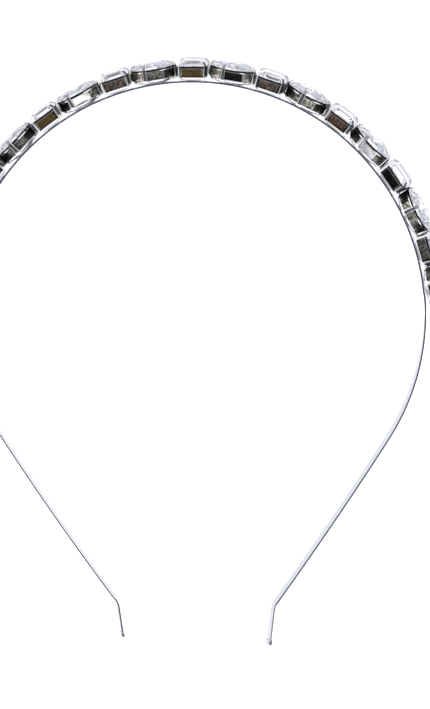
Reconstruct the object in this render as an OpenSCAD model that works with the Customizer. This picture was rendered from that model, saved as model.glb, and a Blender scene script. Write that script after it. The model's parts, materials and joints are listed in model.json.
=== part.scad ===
// Crystal headband lying on its side: a flat springy metal strip bent to the shape of the head,
// with one row of nineteen claw-set stones soldered along its outer face.
// Ovals and cut-corner oblongs take turns, and a small cap covers each end of the strip.
// X runs across the head, Y from the tips up to the apex, Z straight up. Millimetres and degrees.
// Angles along the band are measured from the apex, clockwise seen from above.

/* [Band] */
// Radius of the strip's inner face over the crown of the head
crown_radius = 61.75; // [60:0.05:66]
// Angle from the apex at which the crown arc ends
crown_angle = 84; // [82:0.5:86]
// Radius of the tighter arc just past the last stone
neck_radius = 30; // [24:1:50]
// Angle from the apex at which that tighter arc ends
neck_angle = 88; // [87:0.5:91]
// Radius of each tip's bend back outwards
tip_bend_radius = 4.5; // [3:0.5:8]
// Thickness of the strip
strip_t = 0.6; // [0.5:0.05:0.9]
// Width of the strip
strip_w = 3.4; // [2.8:0.1:4]
// Lean of the strip's outer face towards the front, over the crown
lean = 10; // [4:1:14]

/* [Right arm] */
// Radius of the strip's inner face behind the right ear
right_shoulder_radius = 64; // [55:0.1:70]
// Angle from the apex at which the shoulder ends and the right arm starts
right_shoulder_angle = 122.5; // [118:0.1:126]
// Radius of the right arm, which is bowed so little that it looks straight
right_arm_radius = 1040; // [700:10:1400]
// Angle from the apex at which the right arm ends
right_arm_angle = 125.4; // [124:0.1:128]
// Lean of the right arm's outer face, where less than nothing shows its inner face
right_arm_lean = -18; // [-24:1:10]
// Angle by which the right tip bends back outwards
right_tip_bend = 28.8; // [10:0.2:40]
// Length of the right tip after its bend
right_tip_length = 9.1; // [5:0.1:14]
// Lean of the right tip's outer face
right_tip_lean = -18; // [-24:1:20]

/* [Left arm] */
// Radius of the strip's inner face behind the left ear, tighter because this arm is squeezed in a little
left_shoulder_radius = 59.2; // [52:0.1:70]
// Angle from the apex at which the shoulder ends and the left arm starts
left_shoulder_angle = 123; // [118:0.1:126]
// Radius of the left arm
left_arm_radius = 790; // [600:10:1400]
// Angle from the apex at which the left arm ends
left_arm_angle = 127; // [124:0.1:129]
// Lean of the left arm's outer face, where less than nothing shows its inner face
left_arm_lean = -3; // [-24:1:10]
// Angle by which the left tip bends back outwards
left_tip_bend = 28.4; // [10:0.2:40]
// Length of the left tip after its bend
left_tip_length = 8.3; // [5:0.1:14]
// Lean of the left tip's outer face
left_tip_lean = 14; // [-24:1:20]

/* [Stones] */
// Angle along the band from one stone to the next
stone_pitch = 9.2; // [9.2:0.05:9.6]
// Angle by which the whole row sits round towards the right ear
row_offset = 0.4; // [-1:0.1:1]
// Length of an oval stone along the band
oval_l = 12; // [10:0.5:12]
// Length of a cut-corner stone along the band
oblong_l = 8; // [6:0.5:8]
// Width of every stone across the band
stone_w = 10; // [8:0.5:11]
// Leg of the triangle cut from each corner of an oblong
corner_cut = 1.35; // [0.8:0.05:2]
// Height of the girdle's lower edge over the strip
girdle_z = 3.55; // [3:0.05:4.5]
// Thickness of the girdle
girdle_t = 0.3; // [0.1:0.05:0.4]
// Height of the crown above the girdle
crown_h = 1.5; // [1:0.05:2.5]
// Height of the flat at the bottom of each stone over the strip
culet_z = 0.8; // [0.7:0.1:1.5]
// Size of an oval's table as a share of its girdle
oval_table = 0.52; // [0.4:0.02:0.66]
// How far an oblong's table lies in from its girdle
oblong_inset = 1.9; // [1:0.1:2.4]

/* [Settings] */
// Height of a setting's tray over the strip
tray_h = 0.94; // [0.7:0.02:1.4]
// Thickness of a tray's floor and wall
tray_t = 0.4; // [0.3:0.05:0.6]
// How far a tray's wall lies in from the girdle above it
tray_inset = 0.12; // [0:0.02:0.5]
// Height of the pad of solder between the strip and each tray
solder_pad = 0.3; // [0.2:0.05:0.5]
// Depth to which that pad goes into the strip's outer face
solder_depth = 0.2; // [0.1:0.02:0.3]
// Angle round an oval from its long axis to its first claw, with the other three a quarter turn apart
oval_claw_angle = 70; // [50:1:72]
// Width of a claw
claw_w = 1.1; // [0.7:0.1:1.6]
// Thickness of a claw
claw_t = 0.45; // [0.3:0.05:0.7]
// How far a claw runs up over the crown
claw_reach = 1.5; // [0.6:0.05:1.6]
// Slope of the part of a claw that lies on the crown
claw_slope = 45; // [36:1:45]
// Clearance between a stone and the metal round it
stone_gap = 0.08; // [0.05:0.01:0.15]
// Angle from the middle of the last setting on each side back to where its flat base touches the strip
end_lift = 5.5; // [4:0.5:5.5]
// Extra distance of that setting along the strip, which keeps its claws clear of the stone beside it
end_shift = 0.4; // [0.35:0.05:0.8]

/* [End caps] */
// Length of the strip that a cap covers
cap_grip = 1.1; // [0.8:0.1:2.5]
// Thickness of a cap
cap_t = 1.1; // [1.1:0.1:2.2]
// Width of a cap
cap_w = 3.8; // [3.8:0.1:6]
// Clearance between a cap and the strip inside it
cap_gap = 0.05; // [0.03:0.01:0.1]

/* [Hidden] */
$fn = 48;
// Places of the stones, counted from the apex: even ones are oblongs and odd ones are ovals
LAST = 9;
OVAL_PLACES = [for (i = [-LAST:LAST]) if (i % 2 != 0) i];
OBLONG_PLACES = [for (i = [-LAST:LAST]) if (i % 2 == 0) i];
// How much further round each oval's claws stand, from left to right, as on a row set by hand
CLAW_TURNS = [0, 6, 10, -3, 0, 0, 12, 0, 12, 4];

girdle_top = girdle_z + girdle_t;
table_z = girdle_top + crown_h;
// Heights of the two rings of edges under the girdle: a narrow bevel round the bottom, then steep sides
bevel_z = culet_z + 0.16;
side_z = culet_z + 0.45;
// How far an oblong lies in from its girdle at its bottom, at its bevel and where its steep sides start
OBLONG_BODY = [2.4, 1, 0.5];
// Shares of its girdle that an oval measures at the same three heights
OVAL_BODY = [0.5, 0.8, 0.92];
// Shares of the crown's height at which an oblong's step and an oval's star facets start
STEP_RISE = 0.58;
STAR_RISE = 0.62;
// Share of its girdle that an oval measures where its star facets start
OVAL_STAR = 0.8;
// Middle line of the strip over the crown and round the tighter arc
crown_mid = crown_radius + strip_t / 2;
neck_mid = neck_radius + strip_t / 2;
function outward(a) = [sin(a), cos(a)];
function along(a) = [cos(a), -sin(a)];
neck_centre = (crown_mid - neck_mid) * outward(crown_angle);

// One arm from the tighter arc down to its cap: the same numbers for either side, with X away from the middle
function arm_of(
    shoulder_radius, shoulder_angle, arm_radius, arm_angle, arm_lean, tip_bend, tip_length, tip_lean) =
    let (
        shoulder_mid = shoulder_radius + strip_t / 2,
        arm_mid = arm_radius + strip_t / 2,
        shoulder_centre = neck_centre + (neck_mid - shoulder_mid) * outward(neck_angle),
        arm_centre = shoulder_centre + (shoulder_mid - arm_mid) * outward(shoulder_angle),
        bend_centre = arm_centre + (arm_mid + tip_bend_radius) * outward(arm_angle),
        tip_angle = arm_angle - tip_bend,
        tip_start = bend_centre - tip_bend_radius * outward(tip_angle))
    [[shoulder_centre, shoulder_mid, shoulder_angle], [arm_centre, arm_mid, arm_angle, arm_lean],
        [bend_centre, tip_angle], [tip_start, tip_length, tip_lean]];
right_arm = arm_of(right_shoulder_radius, right_shoulder_angle, right_arm_radius, right_arm_angle,
    right_arm_lean, right_tip_bend, right_tip_length, right_tip_lean);
left_arm = arm_of(left_shoulder_radius, left_shoulder_angle, left_arm_radius, left_arm_angle,
    left_arm_lean, left_tip_bend, left_tip_length, left_tip_lean);
// What arm_of gives: the shoulder, the arm, the bend and the tip, each a list of its own
function shoulder_of(arm) = arm[0];
function bow_of(arm) = arm[1];
function bend_of(arm) = arm[2];
function tip_of(arm) = arm[3];

// Twisted stretches are a hair slimmer on every face, and end a little way inside their neighbours
slim = 0.01;
lap = 0.02;
// Share of the twist that is done after a share of the way: quick at first, then slower
function twist_share(u) = 1 - pow(1 - u, 2.5);
TWIST_STEP = 1;
// Steps of a full turn that a preview draws for the crown and for a bowed arm
CROWN_STEPS = 180;
BOW_STEPS = 900;

// Outlines with points in order, all around the stone's own axis
half_l = oval_l / 2;
half_w = stone_w / 2;
// Angles of an oval's girdle points: a long facet faces each side, and shorter ones go round the ends
OVAL_ANGLES = [0, 20, 40, 60, 90, 120, 140, 160, 180, 200, 220, 240, 270, 300, 320, 340];
OVAL_SIDES = len(OVAL_ANGLES);
function oval_outline(share, drop = 0) = [for (t = OVAL_ANGLES)
    [(half_l * share - drop) * cos(t), (half_w * share - drop) * sin(t)]];
function oblong_outline(inset) =
    let (x = oblong_l / 2 - inset, y = half_w - inset, c = max(corner_cut - inset * (2 - sqrt(2)), 0.2))
    [[x, y - c], [x - c, y], [c - x, y], [-x, y - c], [-x, c - y], [c - x, -y], [x - c, -y], [x, c - y]];

// Where each claw stands on its girdle, and which way it faces: [x, y, facing]
QUARTERS = [0, 90, 180, 270];
function oval_claws(turn) = [for (q = QUARTERS) let (t = oval_claw_angle + turn + q)
    [half_l * cos(t), half_w * sin(t), atan2(half_l * sin(t), half_w * cos(t))]];
oblong_claws = [for (x = [-1, 1], y = [-1, 1])
    [x * (oblong_l - corner_cut) / 2, y * (stone_w - corner_cut) / 2, atan2(y, x)]];

// Side view of a claw: x is the distance out from the girdle, y the height over the strip
claw_foot = 0.12;
claw_in = -0.4;
claw_out = stone_gap + claw_t;
claw_knee = girdle_top + stone_gap;
claw_shoulder = claw_knee + claw_t * (cos(claw_slope) - (1 - sin(claw_slope)) * tan(claw_slope));
claw_tip = [stone_gap - claw_reach * cos(claw_slope), claw_knee + claw_reach * sin(claw_slope)];
claw_nose = claw_t * 0.35;
CLAW = [
    [claw_in, claw_foot],
    [claw_out, claw_foot],
    [claw_out, claw_shoulder],
    claw_tip + claw_t * [sin(claw_slope), cos(claw_slope)],
    claw_tip + claw_t / 2 * [sin(claw_slope), cos(claw_slope)] + claw_nose * [-cos(claw_slope), sin(claw_slope)],
    claw_tip,
    [stone_gap, claw_knee],
    [stone_gap, tray_h - claw_foot],
    [claw_in, tray_h - claw_foot]];

// Place of the whole object: its box stands on the floor round the origin
function claw_drop(c) = c[1] + claw_out * sin(c[2]) + claw_w / 2 * abs(cos(c[2]));
lowest_claw = max([for (turn = CLAW_TURNS, c = oval_claws(turn)) claw_drop(c)]);
seat_z = strip_t / 2 + solder_pad;
floor_z = (seat_z + claw_foot) * sin(lean) - lowest_claw * cos(lean);
top_y = crown_mid + (seat_z + table_z) * cos(lean) + (half_w - oblong_inset) * sin(lean);
cap_reach = cap_t / 2;
function tip_y(arm) = (tip_of(arm)[0] + tip_of(arm)[1] * along(bend_of(arm)[1]))[1] - cap_reach;
place_y = -(top_y + min(tip_y(right_arm), tip_y(left_arm))) / 2;

// Puts the children in the object's own place
module placed() {
    translate([0, place_y, -floor_z]) children();
}

// Corners of the strip's cross-section at one point of its middle line
function corners(point, angle, turn) =
    let (t = strip_t / 2 - slim, w = strip_w / 2 - slim)
    [for (c = [[-t, -w], [t, -w], [t, w], [-t, w]])
        let (out = c[0] * cos(turn) - c[1] * sin(turn), up = c[0] * sin(turn) + c[1] * cos(turn))
        concat(point + out * outward(angle), up)];

// Twisted stretch of the strip through cross-sections that follow one another
module ribbon(sections) {
    points = [for (section = sections) each section];
    n = len(sections);
    polyhedron(points, concat(
        [[0, 1, 2, 3]],
        [for (i = [0:n - 2], k = [0:3]) let (j = (k + 1) % 4) each [
            [4 * i + k, 4 * i + 4 + k, 4 * i + j],
            [4 * i + 4 + k, 4 * i + 4 + j, 4 * i + j]]],
        [[for (k = [3:-1:0]) 4 * (n - 1) + k]]));
}

// Puts the children on the strip's middle line, X along the strip and Y outwards
module on_strip(start, angle) {
    translate([start[0], start[1], 0]) rotate([0, 0, -angle]) children();
}

// One straight piece of the strip
module strip_straight(start, angle, length, turn) {
    on_strip(start, angle)
        rotate([90, 0, 90])
            linear_extrude(height = length) rotate(turn) square([strip_t, strip_w], center = true);
}

// One evenly curved piece of the strip, between two angles from the apex
module strip_arc(centre, mid, first, last, turn, steps) {
    translate([centre[0], centre[1], 0])
        rotate([0, 0, 90 - last])
            rotate_extrude(angle = last - first, $fn = steps)
                translate([mid, 0]) rotate(turn) square([strip_t, strip_w], center = true);
}

// The tighter arc and the shoulder, over which the strip twists
module shoulder(arm) {
    first = crown_mid * outward(crown_angle);
    centre = shoulder_of(arm)[0];
    mid = shoulder_of(arm)[1];
    last = shoulder_of(arm)[2];
    arm_lean = bow_of(arm)[3];
    end = centre + mid * outward(last);
    function turn(a) = lean + (arm_lean - lean) * twist_share((a - crown_angle) / (last - crown_angle));
    ribbon(concat(
        [corners(first - lap * along(crown_angle), crown_angle, lean)],
        [for (a = [crown_angle + TWIST_STEP:TWIST_STEP:neck_angle])
            corners(neck_centre + neck_mid * outward(a), a, turn(a))],
        [for (a = [neck_angle + TWIST_STEP:TWIST_STEP:last - TWIST_STEP / 4])
            corners(centre + mid * outward(a), a, turn(a))],
        [corners(end, last, arm_lean), corners(end + lap * along(last), last, arm_lean)]));
}

// The bend at one tip
module tip_bend(arm) {
    centre = bend_of(arm)[0];
    first = bow_of(arm)[2];
    last = bend_of(arm)[1];
    arm_lean = bow_of(arm)[3];
    tip_lean = tip_of(arm)[2];
    start = centre - tip_bend_radius * outward(first);
    end = tip_of(arm)[0];
    function turn(a) = arm_lean + (tip_lean - arm_lean) * (first - a) / (first - last);
    ribbon(concat(
        [corners(start - lap * along(first), first, arm_lean)],
        [for (a = [first:-2 * TWIST_STEP:last + TWIST_STEP])
            corners(centre - tip_bend_radius * outward(a), a, turn(a))],
        [corners(end, last, tip_lean), corners(end + lap * along(last), last, tip_lean)]));
}

// Everything of the strip from the crown arc down to one tip
module strip_side(arm) {
    bow = bow_of(arm);
    tip = tip_of(arm);
    shoulder(arm);
    strip_arc(bow[0], bow[1], shoulder_of(arm)[2], bow[2], bow[3], BOW_STEPS);
    tip_bend(arm);
    strip_straight(tip[0], bend_of(arm)[1], tip[1], tip[2]);
}

module strip() {
    strip_arc([0, 0], crown_mid, -crown_angle, crown_angle, lean, CROWN_STEPS);
    strip_side(right_arm);
    mirror([1, 0, 0]) strip_side(left_arm);
}

// Puts the children on the strip's outer face at one place, Z out of the face
module at_place(i) {
    end = abs(i) == LAST ? sign(i) : 0;
    rotate([0, 0, end * end_lift - i * stone_pitch - row_offset])
        translate([end * (crown_mid * tan(end_lift) + end_shift), crown_mid, 0])
            rotate([lean - 90, 0, 0])
                translate([0, 0, seat_z]) children();
}

// Open tray that a stone's point sits in
module tray(outer, inner) {
    difference() {
        translate([0, 0, -solder_pad - solder_depth])
            linear_extrude(height = solder_pad + solder_depth + tray_h) polygon(outer);
        translate([0, 0, tray_t]) linear_extrude(height = tray_h) polygon(inner);
    }
}

module claws(places) {
    for (c = places)
        translate([c[0], c[1], 0])
            rotate([0, 0, c[2]])
                rotate([90, 0, 0])
                    linear_extrude(height = claw_w, center = true) polygon(CLAW);
}

module oval_setting(turn) {
    tray(oval_outline(1, tray_inset), oval_outline(1, tray_inset + tray_t));
    claws(oval_claws(turn));
}

module oblong_setting() {
    tray(oblong_outline(tray_inset), oblong_outline(tray_inset + tray_t));
    claws(oblong_claws);
}

// Strip and settings, soldered into one
module band_frame() {
    color("silver") placed() {
        strip();
        for (k = [0:len(OVAL_PLACES) - 1])
            at_place(OVAL_PLACES[k]) oval_setting(CLAW_TURNS[k]);
        for (i = OBLONG_PLACES)
            at_place(i) oblong_setting();
    }
}

// Solid through a stack of rings with the same number of points, flat at both ends
module stack(rings, heights) {
    n = len(rings[0]);
    last = len(rings) - 1;
    points = [for (r = [0:last], p = rings[r]) [p[0], p[1], heights[r]]];
    sides = [for (r = [0:last - 1], k = [0:n - 1])
        [r * n + k, (r + 1) * n + k, (r + 1) * n + (k + 1) % n, r * n + (k + 1) % n]];
    bottom = [for (k = [0:n - 1]) k];
    top = [for (k = [n - 1:-1:0]) last * n + k];
    polyhedron(points, concat([bottom], sides, [top]));
}

// Step-cut stone with cut corners and a deep, steep body
module oblong_stone() {
    body_insets = concat(OBLONG_BODY, 0);
    crown_insets = [0, oblong_inset / 2, oblong_inset];
    body_heights = [culet_z, bevel_z, side_z, girdle_z];
    crown_heights = [girdle_top, girdle_top + crown_h * STEP_RISE, table_z];
    stack(
        [for (inset = concat(body_insets, crown_insets)) oblong_outline(inset)],
        concat(body_heights, crown_heights));
}

// Brilliant-cut oval: table, stars, kites and upper facets over the girdle, steep long facets under it
module oval_stone() {
    main = OVAL_SIDES / 2;
    girdle = oval_outline(1);
    function ring(share, odd, z) = [for (k = [0:main - 1])
        let (p = share * girdle[2 * k + odd]) [p[0], p[1], z]];
    points = concat(
        ring(OVAL_BODY[0], 1, culet_z),
        ring(OVAL_BODY[1], 1, bevel_z),
        ring(OVAL_BODY[2], 1, side_z),
        [for (p = girdle) [p[0], p[1], girdle_z]],
        [for (p = girdle) [p[0], p[1], girdle_top]],
        ring(OVAL_STAR, 0, girdle_top + crown_h * STAR_RISE),
        ring(oval_table, 1, table_z));
    low = 3 * main;
    high = low + OVAL_SIDES;
    star = high + OVAL_SIDES;
    table = star + main;
    faces = concat(
        [[for (k = [0:main - 1]) k]],
        [for (k = [0:main - 1], r = [0, main])
            let (j = (k + 1) % main) [r + k, r + main + k, r + main + j, r + j]],
        [for (k = [0:main - 1])
            let (j = (k + 1) % main, side = 2 * main + k, next = 2 * main + j,
                a = 2 * k, b = 2 * k + 1, c = (2 * k + 2) % OVAL_SIDES, d = (2 * k + 3) % OVAL_SIDES)
            each [
                [side, low + b, low + c],
                [side, low + c, next],
                [next, low + c, low + d],
                [low + a, high + a, high + b, low + b],
                [low + b, high + b, high + c, low + c],
                [high + a, star + k, high + b],
                [high + b, star + j, high + c],
                [high + b, star + k, table + k],
                [high + b, table + k, star + j],
                [star + j, table + k, table + j]]],
        [[for (k = [main - 1:-1:0]) table + k]]);
    polyhedron(points, faces);
}

module cap(arm) {
    tip = tip_of(arm);
    on_strip(tip[0], bend_of(arm)[1])
        rotate([tip[2], 0, 0])
            difference() {
                translate([tip[1], 0, 0]) union() {
                    translate([-cap_grip, -cap_t / 2, -cap_w / 2]) cube([cap_grip, cap_t, cap_w]);
                    cylinder(d = cap_t, h = cap_w, center = true);
                }
                translate([0, -strip_t / 2 - cap_gap, -strip_w / 2 - cap_gap])
                    cube([tip[1] + cap_gap, strip_t + 2 * cap_gap, strip_w + 2 * cap_gap]);
            }
}

module end_cap_right() {
    color("gainsboro") placed() cap(right_arm);
}

module end_cap_left() {
    color("gainsboro") placed() mirror([1, 0, 0]) cap(left_arm);
}

band_frame();
for (k = [0:len(OVAL_PLACES) - 1])
    color("aliceblue") placed() at_place(OVAL_PLACES[k]) oval_stone();
for (k = [0:len(OBLONG_PLACES) - 1])
    color("lavender") placed() at_place(OBLONG_PLACES[k]) oblong_stone();
end_cap_left();
end_cap_right();
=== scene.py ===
"""Looks of a crystal headband: a springy metal strip with nineteen claw-set stones.

The band lies on its side. X runs across the head, Y from the tips up to the apex and Z straight up, in
metres. Sizes repeat those of the CAD source. Angles along the band start at the apex. The stones' places are
counted from the one at the apex, 0, and are negative on the left.
"""

import json
from math import cos, pi, radians, sin, sqrt, tan

import bpy
import numpy as np
from bpy.props import FloatProperty, FloatVectorProperty, PointerProperty
from mathutils import Matrix, Vector


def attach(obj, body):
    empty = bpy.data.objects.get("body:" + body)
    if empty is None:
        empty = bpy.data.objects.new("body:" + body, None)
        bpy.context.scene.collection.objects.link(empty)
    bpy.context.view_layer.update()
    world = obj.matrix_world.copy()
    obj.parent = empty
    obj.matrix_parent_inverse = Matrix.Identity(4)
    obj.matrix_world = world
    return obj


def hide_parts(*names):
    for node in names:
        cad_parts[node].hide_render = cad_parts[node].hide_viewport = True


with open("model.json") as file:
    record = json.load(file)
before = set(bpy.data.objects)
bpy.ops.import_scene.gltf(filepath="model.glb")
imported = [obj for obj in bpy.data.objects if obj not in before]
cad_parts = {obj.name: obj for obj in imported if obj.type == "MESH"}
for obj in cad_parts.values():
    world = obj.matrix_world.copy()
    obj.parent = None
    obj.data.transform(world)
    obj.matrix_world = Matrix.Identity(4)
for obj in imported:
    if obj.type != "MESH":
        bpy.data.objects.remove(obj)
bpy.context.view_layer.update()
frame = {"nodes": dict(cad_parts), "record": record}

bl_info = {
    "name": "Crystal headband",
    "version": (1, 0, 0),
    "blender": (4, 5, 0),
    "location": "3D View > Sidebar > Headband",
    "description": "Builds a claw-set crystal headband round its packed CAD model",
    "category": "Add Mesh",
}

MM = 0.001
LAST = 9
OVAL_PLACES = [i for i in range(-LAST, LAST + 1) if i % 2]
OBLONG_PLACES = [i for i in range(-LAST, LAST + 1) if not i % 2]

# Degrees by which each oval's claws stand turned, from left to right
CLAW_TURNS = [0, 6, 10, -3, 0, 0, 12, 0, 12, 4]

# The left arm's own sizes, in millimetres and in degrees
LEFT_LENGTHS = {"shoulder_radius": 59.2, "arm_radius": 790, "tip_length": 8.3}
LEFT_ANGLES = {"shoulder_angle": 123, "arm_angle": 127, "arm_lean": -3, "tip_bend": 28.4, "tip_lean": 14}


def length(name, description, millimetres):
    """Size that a user may change."""
    return FloatProperty(name=name, description=description, default=millimetres * MM, unit="LENGTH")


def angle(name, description, degrees):
    """Angle that a user may change."""
    return FloatProperty(name=name, description=description, default=radians(degrees), subtype="ANGLE")


def colour(name, description, *value):
    """Colour that a user may change."""
    return FloatVectorProperty(
        name=name, description=description, default=value, subtype="COLOR", min=0, max=1)


def strength(name, description, value):
    """Strength of a light."""
    return FloatProperty(name=name, description=description, default=value, min=0)


class ArmSizes(bpy.types.PropertyGroup):
    """One arm, from the last stone down to its tip. The defaults are those of the right arm."""

    shoulder_radius: length("Shoulder radius", "Inner radius behind the ear", 64)
    shoulder_angle: angle("Shoulder angle", "Where the shoulder ends and the arm starts", 122.5)
    arm_radius: length("Arm radius", "Inner radius of the nearly straight arm", 1040)
    arm_angle: angle("Arm angle", "Where the arm ends", 125.4)
    arm_lean: angle("Arm lean", "Lean of the outer face along the arm", -18)
    tip_bend: angle("Tip bend", "How far the tip bends back outwards", 28.8)
    tip_length: length("Tip length", "Length of the tip after its bend", 9.1)
    tip_lean: angle("Tip lean", "Lean of the outer face along the tip", -18)


class BandSizes(bpy.types.PropertyGroup):
    """The whole strip, the stones, their settings and the caps."""

    crown_radius: length("Crown radius", "Radius of the inner face over the crown", 61.75)
    crown_angle: angle("Crown angle", "Where the crown arc ends", 84)
    neck_radius: length("Neck radius", "Radius of the tighter arc past the last stone", 30)
    neck_angle: angle("Neck angle", "Where that tighter arc ends", 88)
    bend_radius: length("Bend radius", "Radius of each tip's bend", 4.5)
    strip_t: length("Strip thickness", "Thickness of the strip", 0.6)
    strip_w: length("Strip width", "Width of the strip", 3.4)
    strip_edge: length("Strip edge", "Rounding of the strip's edges", 0.16)
    lean: angle("Lean", "Lean of the outer face towards the front, over the crown", 10)
    stone_pitch: angle("Stone pitch", "Angle from one stone to the next", 9.2)
    row_offset: angle("Row offset", "How far the whole row sits round to the right", 0.4)
    oval_l: length("Oval length", "Length of an oval stone", 12)
    oblong_l: length("Oblong length", "Length of a cut-corner stone", 8)
    stone_w: length("Stone width", "Width of every stone", 10)
    corner_cut: length("Corner cut", "Leg of the triangle cut from each corner", 1.35)
    table_inset: length("Table inset", "How far an oblong's table lies in from its girdle", 1.9)
    girdle_z: length("Girdle height", "Height of the girdle over the tray", 3.55)
    girdle_t: length("Girdle thickness", "Thickness of the girdle", 0.3)
    crown_h: length("Crown height", "Height of a stone above its girdle", 1.5)
    culet_z: length("Culet height", "Height of the flat under each stone", 0.8)
    foil_in: length("Foil inside", "Distance of a foil's inside from the stone", 0.012)
    foil_out: length("Foil outside", "Distance of a foil's outside from the stone", 0.045)
    end_lift: angle("End lift", "Angle back to where the last setting touches the strip", 5.5)
    end_shift: length("End shift", "Extra distance of the last setting along the strip", 0.4)
    tray_h: length("Tray height", "Height of a setting's tray", 0.94)
    tray_t: length("Tray thickness", "Thickness of a tray's wall", 0.4)
    tray_inset: length("Tray inset", "How far a tray's rim lies in from the girdle", 0.12)
    tray_swell: length("Tray swell", "How far a tray's rim stands out past its foot", 2.7)
    tray_corner: length("Tray corner", "Rounding of an oblong tray's corners", 0.4)
    solder_pad: length("Solder pad", "Height of the solder between strip and tray", 0.3)
    claw_angle: angle("Oval claw angle", "Angle round an oval to its first claw", 70)
    claw_w: length("Claw width", "Width of a claw", 1.1)
    claw_t: length("Claw thickness", "Thickness of a claw", 0.45)
    claw_reach: length("Claw reach", "How far a claw runs up over the crown", 1.5)
    claw_slope: angle("Claw slope", "Slope of the part of a claw on the crown", 45)
    claw_bend: length("Claw bend", "Inner radius of a claw's bend over the girdle", 0.1)
    claw_root: length("Claw root", "Height over the tray's floor where the solid claws start", 0.12)
    claw_foot: length("Claw foot", "Height over the tray's floor where a claw leaves its wall", 0.3)
    claw_stub: length("Claw stub", "Length of a claw under the tray", 0.9)
    claw_flare: length("Claw flare", "Extra width of a claw at its foot", 0.7)
    flare_h: length("Flare height", "Height over which that extra width dies away", 0.75)
    foot_radius: length("Foot radius", "Radius of a claw's bend at its foot", 0.75)
    stone_gap: length("Stone gap", "Clearance between a stone and the metal", 0.08)
    cap_grip: length("Cap grip", "Length of the strip that a cap covers", 1.1)
    cap_t: length("Cap thickness", "Thickness of a cap", 1.1)
    cap_w: length("Cap width", "Width of a cap", 3.8)
    cap_gap: length("Cap clearance", "Clearance between a cap and the strip", 0.05)
    right: PointerProperty(type=ArmSizes, name="Right arm", description="Sizes of the right arm")
    left: PointerProperty(type=ArmSizes, name="Left arm", description="Sizes of the left arm")


class FinishColours(bpy.types.PropertyGroup):
    """Colours of painted shade on the strip and settings, of the caps' duller plating, of crystal and of the
    lacquers on the stones' backs, some of which are painted reflections and shadow.
    """

    # Colour of the painted shadow under the trays and the painted dark reflections on the claws' fronts
    settings_shade_colour: colour("Settings shade colour", "Painted shade on the settings", 0.05, 0.055, 0.075)
    # Colour that the strip is darkened towards in its painted dark reflections
    strip_reflection_colour: colour("Strip reflection colour", "Painted dark reflections on the strip", 0.04, 0.07, 0.25)
    worn_caps: colour("Worn caps", "Dull plating of the caps", 0.04, 0.07, 0.2)
    crystal: colour("Crystal", "Tint of the clear stones", 0.97, 0.98, 1.0)
    # Black is painted shadow over each girdle and painted dark reflection in two windows. Dark is partly the
    # backs' own lacquer, partly painted shade low down on each foil
    black: colour("Black", "Black lacquer", 0.012, 0.012, 0.014)
    dark: colour("Dark", "Dark lacquer", 0.055, 0.055, 0.05)
    grey: colour("Grey", "Grey lacquer", 0.15, 0.15, 0.145)
    olive: colour("Olive", "Olive lacquer", 0.12, 0.083, 0.035)
    brown: colour("Brown", "Brown lacquer", 0.13, 0.11, 0.095)
    red: colour("Red", "Reddish lacquer", 0.14, 0.085, 0.075)
    # Cream, pale, lilac, streaked and white are painted reflections in the glossy backs. White also makes the
    # painted highlight under each girdle
    cream: colour("Cream", "Cream lacquer", 0.95, 0.86, 0.74)
    pale: colour("Pale", "Pale grey lacquer", 0.6, 0.59, 0.56)
    lilac: colour("Lilac", "Lilac lacquer", 0.92, 0.92, 1.0)
    streaked: colour("Streaked", "Streaked lacquer", 0.4, 0.4, 0.38)
    white: colour("White", "White lacquer", 1.0, 1.0, 1.0)
    silver: colour("Silver", "Bare foil next to the stone", 0.96, 0.96, 0.97)


class StageSettings(bpy.types.PropertyGroup):
    """Camera, floor and light."""

    camera_right: angle("Camera to the right", "Angle of the camera to the right of straight above", 4.75)
    camera_up: angle("Camera to the apex", "Angle of the camera towards the apex", 3.25)
    distance: length("Camera distance", "Distance from the camera to what it looks at", 1000)
    seen_height: length("Seen height", "Height of the picture at that distance", 188)
    aim_x: length("Aim X", "Place the camera looks at, across the head", 6.17)
    aim_y: length("Aim Y", "Place the camera looks at, along the head", -0.69)
    floor_half: length("Floor half", "Half the side of the square floor", 3000)
    floor_colour: colour("Floor", "Colour of the floor", 0.85, 0.85, 0.85)
    card_colour: colour("Card", "Colour of the floor in reflections", 0.98, 0.98, 1.0)
    card_light: strength("Card light", "Strength of the floor in reflections", 1.15)
    floor_light: strength("Floor light", "Strength of the soft light on the floor", 4)


def outward(a):
    """Unit vector that points away from the middle of the head at angle a from the apex."""
    return np.stack([np.sin(a), np.cos(a)], -1)


def along(a):
    """Unit vector that follows the band at angle a from the apex, away from the apex."""
    return np.stack([np.cos(a), -np.sin(a)], -1)


def ellipse(t, x=1, y=1):
    """Points at angles t round an ellipse with half axes x and y."""
    return np.stack([x * np.cos(t), y * np.sin(t)], -1)


def turned(x, y, a):
    """Coordinates x and y turned anticlockwise by angle a."""
    return x * np.cos(a) - y * np.sin(a), x * np.sin(a) + y * np.cos(a)


def at_height(outline, z):
    """Points of a flat outline, all at height z."""
    return np.column_stack([outline, np.full(len(outline), z)])


def place_y(s):
    """Y of the crown's centre, which puts the middle of the whole object's box at Y 0. The box reaches from
    the lower cap's end up to the front edge of the leaning table of the stone at the apex."""
    table_z = s.strip_t / 2 + s.solder_pad + s.girdle_z + s.girdle_t + s.crown_h
    table_y = s.stone_w / 2 - s.table_inset
    top = s.crown_radius + s.strip_t / 2 + table_z * cos(s.lean) + table_y * sin(s.lean)
    low = min(side_line(s, arm)["point"][-1, 1] - s.cap_t / 2 for arm in (s.right, s.left))
    return -(top + low) / 2


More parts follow.
